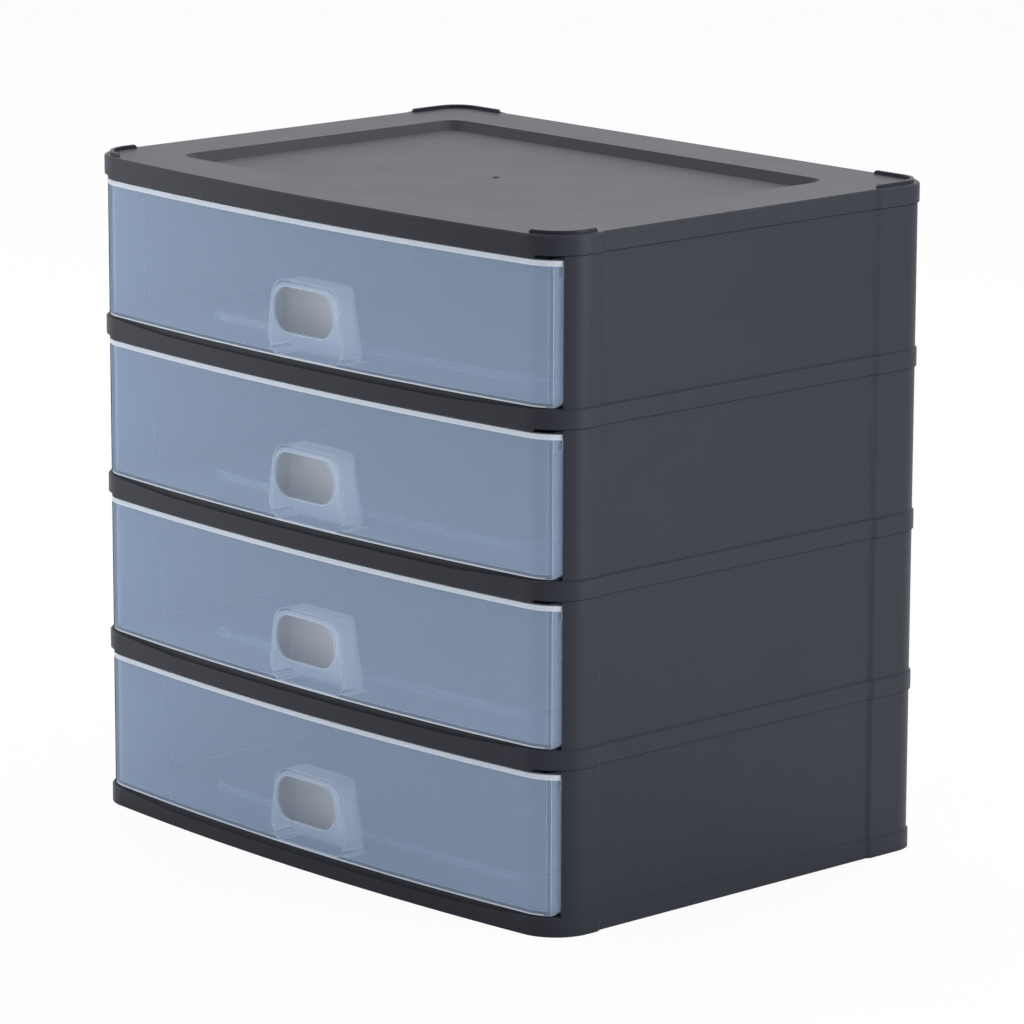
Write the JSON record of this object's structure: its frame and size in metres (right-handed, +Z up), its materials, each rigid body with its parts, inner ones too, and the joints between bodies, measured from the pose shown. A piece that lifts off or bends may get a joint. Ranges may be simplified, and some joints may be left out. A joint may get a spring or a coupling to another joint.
{
  "type": "letter tray stack",
  "caption": "Free-standing desk tower of stacked letter trays: a charcoal moulded plastic carcass with bowed translucent drawers, each pulled by an arched hood with a finger hole.",
  "frame": {"origin": "on the ground, under the middle of the bounding box", "axes": "+Z up, -Y the bowed front that the drawers open towards, +X to the right seen from the front"},
  "size_m": [0.4, 0.3, 0.39],
  "materials": {
    "carcass": "fine spark-eroded texture, matte",
    "drawer": "translucent smoky blue, semi-gloss"
  },
  "bodies": {
    "cabinet": {"base_shelf": "carcass", "middle_shelf_1": "carcass", "middle_shelf_2": "carcass", "middle_shelf_3": "carcass", "top_cover": "carcass", "side_panel_left_1": "carcass", "side_panel_left_2": "carcass", "side_panel_left_3": "carcass", "side_panel_left_4": "carcass", "side_panel_right_1": "carcass", "side_panel_right_2": "carcass", "side_panel_right_3": "carcass", "side_panel_right_4": "carcass", "back_panel_1": "carcass", "back_panel_2": "carcass", "back_panel_3": "carcass", "back_panel_4": "carcass"},
    "drawer_1": {"drawer_1": "drawer"},
    "drawer_2": {"drawer_2": "drawer"},
    "drawer_3": {"drawer_3": "drawer"},
    "drawer_4": {"drawer_4": "drawer"}
  },
  "joints": [
    {"name": "drawer_1_slide", "type": "slide", "parent": "cabinet", "child": "drawer_1", "axis": [0, -1, 0], "range_m": [0, 0.215]},
    {"name": "drawer_2_slide", "type": "slide", "parent": "cabinet", "child": "drawer_2", "axis": [0, -1, 0], "range_m": [0, 0.215]},
    {"name": "drawer_3_slide", "type": "slide", "parent": "cabinet", "child": "drawer_3", "axis": [0, -1, 0], "range_m": [0, 0.215]},
    {"name": "drawer_4_slide", "type": "slide", "parent": "cabinet", "child": "drawer_4", "axis": [0, -1, 0], "range_m": [0, 0.215]}
  ]
}
